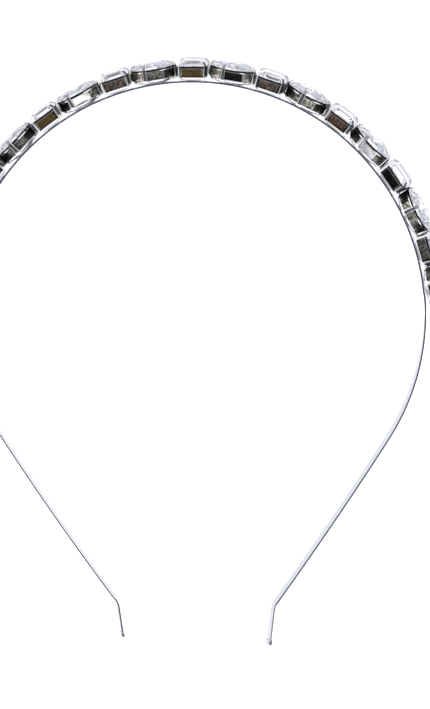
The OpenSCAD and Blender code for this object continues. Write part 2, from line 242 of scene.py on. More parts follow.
def floor_drop(s):
    """Height of the strip's middle line over the floor, found from the lowest claw."""
    seat = s.strip_t / 2 + s.solder_pad + s.claw_root
    claws = np.array([oval_claws(s, turn) for turn in CLAW_TURNS])
    y, facing = claws[..., 1], claws[..., 2]
    reach = y + (s.stone_gap + s.claw_t) * np.sin(facing) + s.claw_w / 2 * abs(np.cos(facing))
    return reach.max() * cos(s.lean) - seat * sin(s.lean)


# Stations of the strip on each stretch of a side, and how many of the last ones take the tip's values of
# painted dark reflection
CROWN_STEPS, NECK_STEPS, SHOULDER_STEPS, ARM_STEPS, BEND_STEPS, END_STEPS = 120, 8, 70, 30, 16, 8
TIP_STATIONS = 20
# Power that brings the twist from the crown's lean to the arm's forward
TWIST_POWER = 2.5


def side_line(s, arm):
    """Middle line of one side of the strip, from the apex down to the end of the tip.

    The crown arc, the tighter neck arc, the shoulder arc, the slightly bowed arm, the bend at the tip and the
    straight tip follow one another without a corner. Each station has its point, its directions outwards and
    along the band, and the lean of the outer face, which turns quickly at first and then slower over neck and
    shoulder, as a power curve, and evenly over the bend.
    """
    crown, neck, shoulder, bow = (
        r + s.strip_t / 2 for r in (s.crown_radius, s.neck_radius, arm.shoulder_radius, arm.arm_radius))
    neck_centre = (crown - neck) * outward(s.crown_angle)
    shoulder_centre = neck_centre + (neck - shoulder) * outward(s.neck_angle)
    bow_centre = shoulder_centre + (shoulder - bow) * outward(arm.shoulder_angle)
    bend_centre = bow_centre + (bow + s.bend_radius) * outward(arm.arm_angle)
    tip_angle = arm.arm_angle - arm.tip_bend

    def turns(first, last, count):
        return np.linspace(first, last, count, endpoint=False)
    crown_a = turns(0, s.crown_angle, CROWN_STEPS)
    neck_a = turns(s.crown_angle, s.neck_angle, NECK_STEPS)
    shoulder_a = turns(s.neck_angle, arm.shoulder_angle, SHOULDER_STEPS)
    bow_a = turns(arm.shoulder_angle, arm.arm_angle, ARM_STEPS)
    bend_a = turns(arm.arm_angle, tip_angle, BEND_STEPS)
    tip = np.linspace(0, arm.tip_length, END_STEPS)[:, None] * along(tip_angle)
    twist = (np.concatenate([neck_a, shoulder_a]) - s.crown_angle) / (arm.shoulder_angle - s.crown_angle)
    point = np.concatenate([
        crown * outward(crown_a),
        neck_centre + neck * outward(neck_a),
        shoulder_centre + shoulder * outward(shoulder_a),
        bow_centre + bow * outward(bow_a),
        bend_centre - s.bend_radius * outward(bend_a),
        bend_centre - s.bend_radius * outward(tip_angle) + tip,
    ])
    heading = np.concatenate([crown_a, neck_a, shoulder_a, bow_a, bend_a, np.full(END_STEPS, tip_angle)])
    lean = np.concatenate([
        np.full(CROWN_STEPS, s.lean),
        s.lean + (arm.arm_lean - s.lean) * (1 - (1 - twist) ** TWIST_POWER),
        np.full(ARM_STEPS, arm.arm_lean),
        turns(arm.arm_lean, arm.tip_lean, BEND_STEPS),
        np.full(END_STEPS, arm.tip_lean),
    ])
    return {"point": point, "out": outward(heading), "along": along(heading), "lean": lean}


def rounded_box(half_x, half_y, radius, arc=5, support=0.3):
    """Points round a rectangle with a quarter circle at each corner, anticlockwise. One more point lies past
    each end of a quarter, by a share of the radius, to keep the flats flat."""
    corners = []
    for quarter, (sx, sy) in enumerate([(1, 1), (-1, 1), (-1, -1), (1, -1)]):
        t = np.linspace(0, pi / 2, arc) + quarter * pi / 2
        middle = np.array([sx * (half_x - radius), sy * (half_y - radius)])
        corner = middle + radius * ellipse(t)
        before, after = (support * radius * np.array([-sin(end), cos(end)]) for end in (t[0], t[-1]))
        corners.append(np.concatenate([[corner[0] - before], corner, [corner[-1] + after]]))
    return np.concatenate(corners)


def outwards(points, faces):
    """The same skin with its faces turned outwards: the volume inside, summed over fans of triangles, has to
    be positive."""
    volume = 0.0
    for group in faces:
        for i in range(1, group.shape[1] - 1):
            a, b, c = (points[group[:, k]] for k in (0, i, i + 1))
            volume += np.einsum("ij,ij->", a, np.cross(b, c))
    return (points, faces) if volume > 0 else (points, [group[:, ::-1] for group in faces])


def row_quads(rows, steps):
    """Four-sided faces that join each of the first rows of points to the next one, with the first row coming
    after the last. With them comes the row that each face starts from."""
    count, around = rows.shape[:2]
    r, k = (a.ravel() for a in np.meshgrid(np.arange(steps), np.arange(around), indexing="ij"))
    n, j = (r + 1) % count, (k + 1) % around
    return np.stack([r * around + k, r * around + j, n * around + j, n * around + k], -1), r


def rows_to_skin(rows):
    """Closed skin over rows of points, with a fan of triangles over each end."""
    count, around = rows.shape[:2]
    points = np.concatenate([rows.reshape(-1, 3), rows[:1].mean(1), rows[-1:].mean(1)])
    k = np.arange(around)
    j = (k + 1) % around
    last, low, high = (count - 1) * around, count * around, count * around + 1
    fans = np.concatenate([
        np.stack([j, k, np.full(around, low)], -1),
        np.stack([last + k, last + j, np.full(around, high)], -1)])
    return outwards(points, [row_quads(rows, count - 1)[0], fans])


def ring_skin(rows):
    """Closed ring over rows that each go round it, and the row that each face starts from."""
    quads, row = row_quads(rows, len(rows))
    return outwards(rows.reshape(-1, 3), [quads]), row


def join_skins(skins):
    """Several skins as one list of points and one list of faces."""
    starts = np.cumsum([0] + [len(points) for points, _ in skins])
    faces = []
    for (_, groups), start in zip(skins, starts):
        for group in groups:
            faces += (group + start).tolist()
    return np.concatenate([points for points, _ in skins]), faces


def add_piece(name, skins, finish, nodes=(), sharp=radians(35)):
    """One finished object on the root body, in place, with smooth faces and sharp edges where they meet at
    more than an angle. nodes are the CAD nodes that it stands for."""
    points, faces = join_skins(skins)
    mesh = bpy.data.meshes.new(name)
    mesh.from_pydata(points.tolist(), [], faces)
    mesh.polygons.foreach_set("use_smooth", np.full(len(faces), True))
    mesh.set_sharp_from_angle(angle=sharp)
    mesh.materials.append(finish)
    mesh.update()
    piece = bpy.data.objects.new(name, mesh)
    bpy.context.scene.collection.objects.link(piece)
    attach(piece, "root")
    if nodes:
        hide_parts(*nodes)
    return piece


def paint_shade_and_dullness(piece, values):
    """Says at each point of a piece, from 0 to 1, how far its plating goes to its darker colour: painted
    shade and dark reflections on the strip and settings, a duller tone all over the caps.
    """
    layer = piece.data.attributes.new("dull", "FLOAT", "POINT")
    layer.data.foreach_set("value", values.astype(np.float32))


def at_place(s, i, points):
    """Points given on the strip's outer face, Z out of the face, moved to place i along the band."""
    end = np.sign(i) if abs(i) == LAST else 0
    x, y, z = points[..., 0], points[..., 1], points[..., 2] + s.strip_t / 2 + s.solder_pad
    y, z = turned(y, z, s.lean - pi / 2)
    crown = s.crown_radius + s.strip_t / 2
    x, y = x + end * (crown * tan(s.end_lift) + s.end_shift), y + crown
    x, y = turned(x, y, end * s.end_lift - i * s.stone_pitch - s.row_offset)
    return np.stack([x, y + place_y(s), z + floor_drop(s)], -1)


# How far the strip is darkened as painted dark reflection: its cut edge over the crown, its edge on each arm
# and tip, and its face past the crown
CROWN_EDGE, LEFT_EDGES, RIGHT_EDGES, ARM_FACE = 0.4, (0.1, 0.4), (0.45, 0.05), 0.28
# Angle past the neck, in radians, at which an arm's own values of painted dark reflection start
ARM_START = 0.15
# Where a face turns into an edge, and over how much, as shares of the edge's rounding
EDGE_START, EDGE_BLEND = 1.2, 0.5


def strip_section(s):
    """Rounded outline of the strip: thickness first, then width."""
    return rounded_box(s.strip_t / 2, s.strip_w / 2, s.strip_edge)


def strip_painted_reflection(s):
    """How far the strip is darkened at each point, as painted dark reflections. Its cut edges differ from its
    faces, and both arms and tips differ."""
    past = abs(strip_section(s)[:, 1]) - (s.strip_w / 2 - s.strip_edge * EDGE_START)
    on_edge = np.clip(past / (s.strip_edge * EDGE_BLEND), 0, 1)

    def side(arm, arm_edge, tip_edge):
        out = side_line(s, arm)["out"]
        turn = np.arctan2(out[:, 0], out[:, 1])
        on_tip = np.arange(len(turn)) >= len(turn) - TIP_STATIONS
        on_arm = turn > s.neck_angle + ARM_START
        edge = np.where(on_tip, tip_edge, np.where(on_arm, arm_edge, CROWN_EDGE))
        face = np.where(on_tip | (turn > s.neck_angle), ARM_FACE, 0)
        return face[:, None] + (edge - face)[:, None] * on_edge
    return np.concatenate([side(s.left, *LEFT_EDGES)[:0:-1], side(s.right, *RIGHT_EDGES)]).ravel()


def strip_rows(s):
    """The strip's outline, turned by the lean at each station, carried along its middle line from the left
    tip over the apex to the right tip."""
    section = strip_section(s)
    right, left = side_line(s, s.right), side_line(s, s.left)
    flip = np.array([-1, 1])
    point = np.concatenate([left["point"][:0:-1] * flip, right["point"]])
    out = np.concatenate([left["out"][:0:-1] * flip, right["out"]])
    lean = np.concatenate([left["lean"][:0:-1], right["lean"]])[:, None]
    away, up = turned(section[:, 0], section[:, 1], lean)
    flat = point[:, None] + away[..., None] * out[:, None]
    return np.concatenate([flat + [0, place_y(s)], up[..., None] + floor_drop(s)], -1)


def oval_outline(s, inset, count=72):
    """Points round an oval: the ellipse whose two half axes are each shorter by inset."""
    t = np.linspace(0, 2 * pi, count, endpoint=False)
    return ellipse(t, s.oval_l / 2 - inset, s.stone_w / 2 - inset)


def cut_corners(s, inset):
    """The eight corners of an oblong's outline, drawn in by inset all round, anticlockwise from its right."""
    least_cut = 0.2 * MM
    x, y = s.oblong_l / 2 - inset, s.stone_w / 2 - inset
    c = max(s.corner_cut - inset * (2 - sqrt(2)), least_cut)
    return np.array([
        [x, c - y], [x, y - c], [x - c, y], [c - x, y], [-x, y - c], [-x, c - y], [c - x, -y], [x - c, -y]])


def rounded_oblong(s, inset, arc=5):
    """An oblong's outline with an eighth of a circle round each corner of the outline a radius inside it."""
    corners = cut_corners(s, inset + s.tray_corner)
    turn = np.arange(-1, 7)[:, None] * pi / 4 + np.linspace(0, pi / 4, arc)
    return (corners[:, None] + s.tray_corner * ellipse(turn)).reshape(-1, 2)


# Share of a tray's height over which its side curves, the power of the curve, the share of its width that is
# left for the even flare, and the height of its lip as a share of the wall's thickness
BOWL_SHARE, BOWL_POWER, EVEN_FLARE, LIP_SHARE = 0.62, 1.3, 0.13, 0.28
# Rows of a tray's side and of its lip
SIDE_ROWS, LIP_ROWS = 13, 4


def tray_rows(s, outline):
    """A bowl: its outer side rises flat from a narrow foot and then ever steeper, as a power curve times a
    line that still widens a little up to the rim. Its lip is part of an arc, and its inner side follows one
    wall's thickness in. outline(s, inset) gives the outline drawn in by inset."""
    low, high = -s.solder_pad, s.tray_h
    rise = np.linspace(0, 1, SIDE_ROWS)
    swell = 1 - (1 - np.minimum(rise / BOWL_SHARE, 1)) ** BOWL_POWER
    swell *= 1 - EVEN_FLARE + EVEN_FLARE * rise
    outer = [(k, 0.0, low + (high - low) * u) for u, k in zip(rise, swell)]
    lip = [(1.0, s.tray_t * (1 - cos(a)) / 2, high + s.tray_t * LIP_SHARE * sin(a))
           for a in np.linspace(pi / 5, 4 * pi / 5, LIP_ROWS)]
    floor = low + s.tray_t
    inner = [(k, s.tray_t, floor + (high - floor) * u) for u, k in zip(rise[::-1], swell[::-1])]
    return np.array([at_height(outline(s, s.tray_inset + s.tray_swell * (1 - k) + wall), z)
                     for k, wall, z in outer + lip + inner])


# Rows of a claw: foot with root, upright part, bend over the girdle, and end, which has no painted reflection
FOOT_ROWS, UPRIGHT_ROWS, KNEE_ROWS, END_ROWS = 10, 6, 7, 4
# Shares of its run on the crown at which a claw's last rows lie, closer together towards its round end
CROWN_SHARES = np.array([0.25, 0.5, 0.65, 0.78, 0.88, 0.95, 0.985, 1.0])
# Points round a claw's section, the power that swells it from an oval to a box with rounded edges, and the
# sine past which a point lies on its outer face
CLAW_AROUND, CLAW_POWER, FACE_SINE = 20, 0.5, 0.7
# Least width of a claw at its end, and least thickness there, as shares
NOSE_WIDTH, NOSE_THICKNESS = 0.12, 0.35


def claw_rows(s):
    """One claw in its own plane, X out from the girdle and Z up: it comes out from under the tray, bends up
    along an arc, rises straight, bends over the girdle and lies on the crown. A box with rounded edges, made
    of powers of cosine and sine, is carried along that line. It is widest at the foot, dies away
    exponentially to the plain width, and ends in a half circle seen from above."""
    t, foot_r, knee_r = s.claw_t, s.foot_radius, s.claw_bend + s.claw_t / 2
    x = s.stone_gap + t / 2
    tangent = s.claw_bend * (1 - sin(s.claw_slope)) / cos(s.claw_slope)
    knee_z = s.girdle_z + s.girdle_t + s.stone_gap - tangent
    foot_z = s.claw_foot + t / 2
    bend = pi / 2 - s.claw_slope
    run = s.claw_reach - s.claw_bend
    a = np.linspace(-pi / 2, 0, FOOT_ROWS - 1)
    b = np.linspace(0, bend, KNEE_ROWS)
    foot = np.array([x - foot_r, foot_z + foot_r]) + foot_r * ellipse(a)
    root = foot[:1] - [s.claw_stub, 0]
    upright_z = np.linspace(foot_z + foot_r, knee_z, UPRIGHT_ROWS + 2)[1:-1]
    upright = np.stack([np.full(UPRIGHT_ROWS, x), upright_z], -1)
    knee = np.array([x - knee_r, knee_z]) + knee_r * ellipse(b)
    end = knee[-1] + run * CROWN_SHARES[:, None] * np.array([-cos(s.claw_slope), sin(s.claw_slope)])
    line = np.concatenate([root, foot, upright, knee, end])
    facing = np.concatenate([[-pi / 2], a, np.zeros(UPRIGHT_ROWS), b, np.full(len(end), bend)])
    nose = np.clip(run * (1 - CROWN_SHARES) / (s.claw_w / 2), 0, 1)
    blunt = np.append(np.ones(len(line) - len(end)), np.sqrt(1 - (1 - nose) ** 2).clip(NOSE_WIDTH))
    width = (s.claw_w + s.claw_flare * np.exp((foot_z - line[:, 1]) / s.flare_h)) * blunt
    thick = t * (NOSE_THICKNESS + (1 - NOSE_THICKNESS) * blunt)
    k = np.linspace(0, 2 * pi, CLAW_AROUND, endpoint=False)
    across, deep = (np.sign(wave) * np.abs(wave) ** CLAW_POWER for wave in (np.cos(k), np.sin(k)))
    flat = line[:, None] + (thick[:, None] / 2 * deep)[..., None] * ellipse(facing)[:, None]
    return np.stack([flat[..., 0], width[:, None] / 2 * across, flat[..., 1]], -1)


def claw_front(claw):
    """Where a claw's outer face lies, from above its foot to just before its end: 1 up to the girdle, 2 from
    there on and 0 elsewhere."""
    row, column = np.indices(claw.shape[:2])
    outer_face = np.sin(column * 2 * pi / CLAW_AROUND) > FACE_SINE
    between = (row >= FOOT_ROWS) & (row < len(claw) - END_ROWS)
    values = np.where(row >= FOOT_ROWS + UPRIGHT_ROWS, 2.0, 1.0) * (outer_face & between)
    return np.append(values.ravel(), [0, 0])


def stand(rows, x, y, facing):
    """A claw's rows turned to face one way and set down on the girdle."""
    dx, dy = turned(rows[..., 0], rows[..., 1], facing)
    return np.stack([x + dx, y + dy, rows[..., 2]], -1)


def oval_claws(s, turn):
    """Where an oval's four claws stand on its ellipse, turned by some degrees, and which way they face."""
    t = s.claw_angle + radians(turn) + np.arange(4) * pi / 2
    x, y = s.oval_l / 2, s.stone_w / 2
    return np.column_stack([ellipse(t, x, y), np.arctan2(x * np.sin(t), y * np.cos(t))])


def oblong_claws(s):
    """Where an oblong's four claws stand, one on each cut corner, and which way they face."""
    x, y = (s.oblong_l - s.corner_cut) / 2, (s.stone_w - s.corner_cut) / 2
    return np.array([[sx * x, sy * y, np.arctan2(sy, sx)] for sx in (-1, 1) for sy in (-1, 1)])


# Painted dark reflection on the fronts of the four claws of each setting, and painted shadow on each tray
# from left to right where it turns under
OVAL_CLAW_SHADE, OVAL_TRAY_SHADOW = (0, 0, 0.38, 0.24), [0.9] * 10
OBLONG_CLAW_SHADE, OBLONG_TRAY_SHADOW = (0.1, 0, 0.9, 0), [0.35] * 6 + [0.9] * 3
DARKEST_SHADE = 0.9
# Rows of a tray where its side turns under and takes its painted shadow, and how far out to the front that
# shadow is full
SHADOW_ROWS, SHADOW_REACH = slice(5, 9), 2 * MM


def settings(s, name, finish, places, rows, claws_at, claws_shade, trays_shadow):
    """A row of settings, each one tray and four claws, with a painted shadow under each tray and painted dark
    reflections on the claws' fronts. claws_at(k) says where the claws of the k-th stand.
    """
    claw = claw_rows(s)
    front = claw_front(claw)
    under = np.zeros(rows.shape[:2])
    # Painted shadow where each tray's side turns under, full towards the front
    under[SHADOW_ROWS] = np.clip(-rows[SHADOW_ROWS, :, 1] / SHADOW_REACH, 0, 1)
    skins, dull = [], []
    for k, i in enumerate(places):
        skins.append(rows_to_skin(at_place(s, i, rows)))
        dull.append(np.append(under.ravel(), [0, 0]) * trays_shadow[k])
        skins += [rows_to_skin(at_place(s, i, stand(claw, *c))) for c in claws_at(k)]
        # Painted dark reflection on each claw's front, twice as strong above the girdle
        dull += [np.minimum(front * value, DARKEST_SHADE) for value in claws_shade]
    piece = add_piece(name, skins, finish, ["band_frame"])
    paint_shade_and_dullness(piece, np.concatenate(dull))


# Angles round an oval of its girdle's sixteen corners. Every second one has a corner of each ring too
OVAL_DEGREES = np.array([0, 20, 40, 60, 90, 120, 140, 160, 180, 200, 220, 240, 270, 300, 320, 340])
# Rings of an oval's foil from below: share of its length, share of its width, millimetres over the culet
OVAL_BODY = [(0.5, 0.5, 0.0), (0.8, 0.8, 0.16), (1.0, 0.92, 0.34)]
# Rings of an oblong's foil from below: millimetres in from the girdle, millimetres over the culet
OBLONG_BODY = [(2.4, 0.0), (1.0, 0.16), (0.5, 0.45)]
# How far a foil's rings move down as they grow outwards, as a share
GROW_DOWN = 0.6
# Angle at which two of a foil's faces meet in a sharp edge, so that only its panels stand out
PANEL_EDGE = radians(21)

# Numbers of a foil's faces outside its eight panels: the dark ones low down carry painted shade under the
# stone, and the silver ones face it
SHADED, SILVER = 8, 9
# How mottled each lacquer is, from 0 to 1. Its colour is the property of the same name
MOTTLED = {"black": 0.3, "dark": 0.8, "grey": 0.8, "olive": 0.3, "brown": 0.8, "red": 0.9, "cream": 0.2,
           "pale": 0.45, "lilac": 0.1, "streaked": 1.0, "white": 0.1, "silver": 0}
# Left, middle and right window of each oval, and left corner, window and right corner of each oblong, from
# left to right
# The windows' lacquers are partly the backs' own colour and partly painted reflection: white, lilac, cream,
# pale and streaked panels stand for light reflected in the glossy backs
OVAL_WINDOWS = [
    "dark grey dark", "dark pale dark", "dark grey dark", "dark white streaked", "cream grey dark",
    "cream black pale", "dark streaked dark", "dark lilac streaked", "dark streaked grey", "grey dark pale"]
OBLONG_WINDOWS = [
    "grey dark grey", "dark brown grey", "pale olive grey", "grey brown pale", "pale olive pale",
    "dark brown grey", "pale red grey", "grey black pale", "pale grey dark"]

# Millimetres by which the band round a girdle, a painted highlight under a painted shadow, starts below it,
# turns from white to black below it and ends above it
RIM_BELOW, RIM_SPLIT, RIM_ABOVE = 0.3, 0.06, 0.08
# Each corner of that band's section, from below over its outside to its inside: millimetres out from the
# stone, and the colour from there on
RIM_OUT = [0.02, 0.055, 0.06, 0.065, 0.06, 0.015]
RIM_COLOURS = ["white", "white", "black", "black", "black", "silver"]


def ring_quads(starts):
    """Four-sided faces from each ring of eight points to the next. starts holds the rings' first points."""
    k = np.arange(8)
    j = (k + 1) % 8
    return np.concatenate([np.stack([r + k, r + 8 + k, r + 8 + j, r + j], -1) for r in starts])


def oval_cup(s, grow):
    """Lower half of an oval stone, grown outwards: three rings of eight points and the girdle's sixteen, to
    which three triangles lead from each side of the top ring."""
    t = np.radians(OVAL_DEGREES)
    x, y = s.oval_l / 2, s.stone_w / 2
    rings = [at_height(ellipse(t[1::2], x * across + grow, y * up + grow),
                       s.culet_z + h * MM - grow * GROW_DOWN) for across, up, h in OVAL_BODY]
    girdle = at_height(ellipse(t, x + grow, y + grow), s.girdle_z)
    k = np.arange(8)
    here, there = 16 + k, 16 + (k + 1) % 8
    b, c, d = (24 + (2 * k + n) % 16 for n in (1, 2, 3))
    triangles = np.concatenate([
        np.stack(corners, -1) for corners in ((here, b, c), (here, c, there), (there, c, d))])
    tags = [np.array([SHADED]), np.append(k, np.full(8, SHADED)), np.tile(k, 3)]
    faces = [k[None], ring_quads((0, 8)), triangles]
    return np.concatenate(rings + [girdle]), faces, tags, 24 + np.arange(16)


def oblong_cup(s, grow):
    """Lower half of an oblong stone, grown outwards: three rings of eight points and the girdle's eight."""
    rings = [at_height(cut_corners(s, inset * MM - grow), s.culet_z + h * MM - grow * GROW_DOWN)
             for inset, h in OBLONG_BODY]
    girdle = at_height(cut_corners(s, -grow), s.girdle_z)
    k = np.arange(8)
    tags = [np.array([SHADED]), np.concatenate([k, np.full(8, SHADED), k])]
    return np.concatenate(rings + [girdle]), [k[None], ring_quads((0, 8, 16))], tags, 24 + k


def foil_skin(s, cup):
    """Thin closed shell on the back of a stone: two cups, one in the other, joined at the girdle. With it
    comes the number of the panel that each face belongs to."""
    outer, faces, panels, rim = cup(s, s.foil_out)
    inner = cup(s, s.foil_in)[0]
    n = len(outer)
    inside = [group[:, ::-1] + n for group in faces]
    across = np.stack([rim, np.roll(rim, -1), np.roll(rim, -1) + n, rim + n], -1)
    tags = panels + [np.full(len(p), SILVER) for p in panels] + [np.full(len(rim), SHADED)]
    return np.concatenate([outer, inner]), faces + inside + [across], tags


def rim_rows(s, outline):
    """Narrow band of lacquer round the girdle, with a bright line below, a painted highlight, and a dark one
    above, a painted shadow: its section of six corners is carried round the stone's outline."""
    below, split = s.girdle_z - RIM_BELOW * MM, s.girdle_z - RIM_SPLIT * MM
    above = s.girdle_z + s.girdle_t + RIM_ABOVE * MM
    heights = [below, below, split, split, above, above]
    return np.array([at_height(outline(s, -out * MM), z) for out, z in zip(RIM_OUT, heights)])


def foils(s, colours, name, places, cup, outline, windows, front):
    """Lacquered backs of a row of stones, each with the band round its girdle. front lists the panels that
    face the camera, from left to right. The panel opposite each of them has the same lacquer. The lacquers
    are partly painted reflection, and the band is a painted highlight under a painted shadow."""
    def paint(words):
        return np.array([(*getattr(colours, word), MOTTLED[word]) for word in words])
    skins, painted = [], []
    for i, words in zip(places, windows):
        panels = ["grey"] * 8 + ["dark", "silver"]
        for panel, word in zip(front, words.split()):
            panels[panel] = panels[(panel + 4) % 8] = word
        points, groups, tags = foil_skin(s, cup)
        skins.append((at_place(s, i, points), groups))
        painted.append(paint(panels)[np.concatenate(tags)])
        (ring, groups), row = ring_skin(rim_rows(s, outline))
        skins.append((at_place(s, i, ring), groups))
        painted.append(paint(RIM_COLOURS)[row])
    piece = add_piece(name, skins, lacquer(), sharp=PANEL_EDGE)
    layer = piece.data.attributes.new("lacquer", "FLOAT_COLOR", "FACE")
    layer.data.foreach_set("color", np.concatenate(painted).astype(np.float32).ravel())


# Rounding of a cap's corners as a share of half its thickness, the angle near the pole at which its dome
# starts, and the dome's rows
CAP_ROUNDING, DOME_START, DOME_ROWS = 0.9, 0.12, 9
# Rows of a cap's side and of its pocket, by their place as a share of the grip. The side narrows to the mouth
CAP_SIDE = [(0.5, [1, 1]), (0.85, [0.98, 0.99]), (1, [0.9, 0.97])]
CAP_POCKET = (1, 0.4)
CAP_DULL = 0.3


def cap_rows(s):
    """A hollow cap, X along the strip: first the dome, its outline drawn in by one minus a sine, then the
    side down to a narrower mouth, then the pocket for the strip back to its end."""
    radius = s.cap_t / 2
    outer = rounded_box(radius, s.cap_w / 2, radius * CAP_ROUNDING)
    pocket = rounded_box(s.strip_t / 2 + s.cap_gap, s.strip_w / 2 + s.cap_gap, s.strip_edge)
    rows = [(np.sign(outer) * (abs(outer) - np.minimum(abs(outer), radius * (1 - sin(a)))), radius * cos(a))
            for a in np.linspace(DOME_START, pi / 2, DOME_ROWS)]
    rows += [(outer * narrow, -s.cap_grip * way) for way, narrow in CAP_SIDE]
    rows += [(pocket, -s.cap_grip * way) for way in CAP_POCKET] + [(pocket, s.cap_gap)]
    return np.array([np.column_stack([np.full(len(o), x), o]) for o, x in rows])


def cap_points(s, arm, side):
    """A cap's rows turned by the tip's lean and set on the end of the tip, on the left for side -1."""
    line, rows = side_line(s, arm), cap_rows(s)
    y, z = turned(rows[..., 1], rows[..., 2], arm.tip_lean)
    flat = line["point"][-1] + rows[..., :1] * line["along"][-1] + y[..., None] * line["out"][-1]
    return np.concatenate([flat * [side, 1] + [0, place_y(s)], z[..., None] + floor_drop(s)], -1)


def fill(tree, node, inputs):
    """Gives each named input of a node its fixed value, or links it from a socket."""
    for name, value in dict(inputs).items():
        if isinstance(value, bpy.types.NodeSocket):
            tree.links.new(value, node.inputs[name])
        else:
            node.inputs[name].default_value = value
    return node


def add_node(tree, kind, inputs=(), **options):
    """New shader node. Its options come first, because they decide which inputs it has."""
    node = tree.nodes.new("ShaderNode" + kind)
    for name, value in options.items():
        setattr(node, name, value)
    return fill(tree, node, inputs)


def ramp(tree, value, start, end):
    """Soft ramp from 0 to 1 while a value goes from start to end."""
    inputs = {"Value": value, "From Min": start, "From Max": end}
    return add_node(tree, "MapRange", inputs, interpolation_type="SMOOTHSTEP").outputs["Result"]


def mixed(tree, factor, first, second):
    """A mix of two colours."""
    inputs = {"Factor": factor, "A": first, "B": second}
    return add_node(tree, "Mix", inputs, data_type="RGBA").outputs["Result"]


def new_material(name):
    """Empty material, its tree and its Principled shader."""
    material = bpy.data.materials.new(name)
    material.use_nodes = True
    return material, material.node_tree, material.node_tree.nodes["Principled BSDF"]


def hand_polish():
    """Fine marks of hand polishing: noise on Object coordinates, as a height and as a roughness between two
    limits."""
    name = "Hand polish"
    if name in bpy.data.node_groups:
        return bpy.data.node_groups[name]
    group = bpy.data.node_groups.new(name, "ShaderNodeTree")
    for way, sockets in (("INPUT", ("Scale", "Low", "High")), ("OUTPUT", ("Roughness", "Height"))):
        for socket in sockets:
            group.interface.new_socket(socket, in_out=way, socket_type="NodeSocketFloat")
    given, result = group.nodes.new("NodeGroupInput"), group.nodes.new("NodeGroupOutput")
    where = add_node(group, "TexCoord")
    marks = add_node(group, "TexNoise", {
        "Vector": where.outputs["Object"], "Scale": given.outputs["Scale"], "Detail": 4})
    spread = add_node(group, "MapRange", {
        "Value": marks.outputs["Fac"], "To Min": given.outputs["Low"], "To Max": given.outputs["High"]})
    fill(group, result, {"Roughness": spread.outputs["Result"], "Height": marks.outputs["Fac"]})
    return group


def slot_colour(slot, fallback=(0.86, 0.87, 0.9)):
    """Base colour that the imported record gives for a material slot."""
    for row in frame["record"].get("materials", []):
        if row.get("slot") == slot and row.get("base_color"):
            return (*row["base_color"][:3], 1)
    return (*fallback, 1)


def plated(name, slot, shade_and_wear_colour, low, high, scale, bump):
    """Bright plating with faint marks of polishing, mixed towards a darker colour where the attribute says
    so:
    painted shade and dark reflections on the strip and settings, a duller tone on the caps. low and high are
    the limits of its roughness."""
    material, tree, shader = new_material(name)
    polish = add_node(tree, "Group", {"Scale": scale, "Low": low, "High": high}, node_tree=hand_polish())
    bumped = add_node(tree, "Bump", {
        "Strength": bump, "Distance": 0.02 * MM, "Height": polish.outputs["Height"]})
    dull = add_node(tree, "Attribute", attribute_name="dull")
    fill(tree, shader, {
        "Base Color": mixed(tree, dull.outputs["Fac"], slot_colour(slot), (*shade_and_wear_colour, 1)),
        "Metallic": 1, "Roughness": polish.outputs["Roughness"], "Normal": bumped.outputs["Normal"]})
    return material


def crystal(tint):
    """Clear cut crystal."""
    material, tree, shader = new_material("Cut crystal")
    fill(tree, shader, {"Base Color": (*tint, 1), "Roughness": 0, "IOR": 1.54, "Transmission Weight": 1})
    return material


def lacquer():
    """Coloured lacquer over the silvered back of a stone: each panel's colour, partly the lacquer's own and
    partly painted reflection and shade, broken up by soft mottling of darker and lighter spots. The
    attribute's alpha says how mottled it is, and so how matt."""
    name = "Lacquered foil"
    if name in bpy.data.materials:
        return bpy.data.materials[name]
    material, tree, shader = new_material(name)
    painted = add_node(tree, "Attribute", attribute_name="lacquer")
    own, mottled = painted.outputs["Color"], painted.outputs["Alpha"]
    where = add_node(tree, "TexCoord")
    clouds = add_node(tree, "TexNoise", {
        "Vector": where.outputs["Object"], "Scale": 900, "Detail": 3, "Distortion": 1.5})

    def scaled(factor, lift):
        return add_node(tree, "VectorMath", {0: own, 1: factor, 2: lift}, operation="MULTIPLY_ADD").outputs[0]
    darker, lighter = scaled((0.35, 0.33, 0.32), (0, 0, 0)), scaled((1.7, 1.65, 1.6), (0.02, 0.02, 0.02))
    spots = mixed(tree, ramp(tree, clouds.outputs["Fac"], 0.42, 0.62), darker, lighter)
    sheen = add_node(tree, "MapRange", {"Value": mottled, "From Max": 0.3, "To Min": 0.08, "To Max": 0.36})
    fill(tree, shader, {
        "Base Color": mixed(tree, mottled, own, spots), "Metallic": 1, "Roughness": sheen.outputs["Result"]})
    return material


def pale_floor(stage):
    """White floor: matt for the camera, and a plain pale card in the reflections of the metal."""
    material, tree, shader = new_material("Pale floor")
    fill(tree, shader, {"Base Color": (*stage.floor_colour, 1), "Roughness": 0.9, "Specular IOR Level": 0})
    card = add_node(tree, "Emission", {"Color": (*stage.card_colour, 1), "Strength": stage.card_light})
    rays = add_node(tree, "LightPath").outputs
    either = add_node(
        tree, "Math", {0: rays["Is Glossy Ray"], 1: rays["Is Transmission Ray"]}, operation="MAXIMUM")
    seen = add_node(tree, "MixShader", {0: either.outputs[0], 1: shader.outputs[0], 2: card.outputs[0]})
    fill(tree, tree.nodes["Material Output"], {"Surface": seen.outputs[0]})
    return material


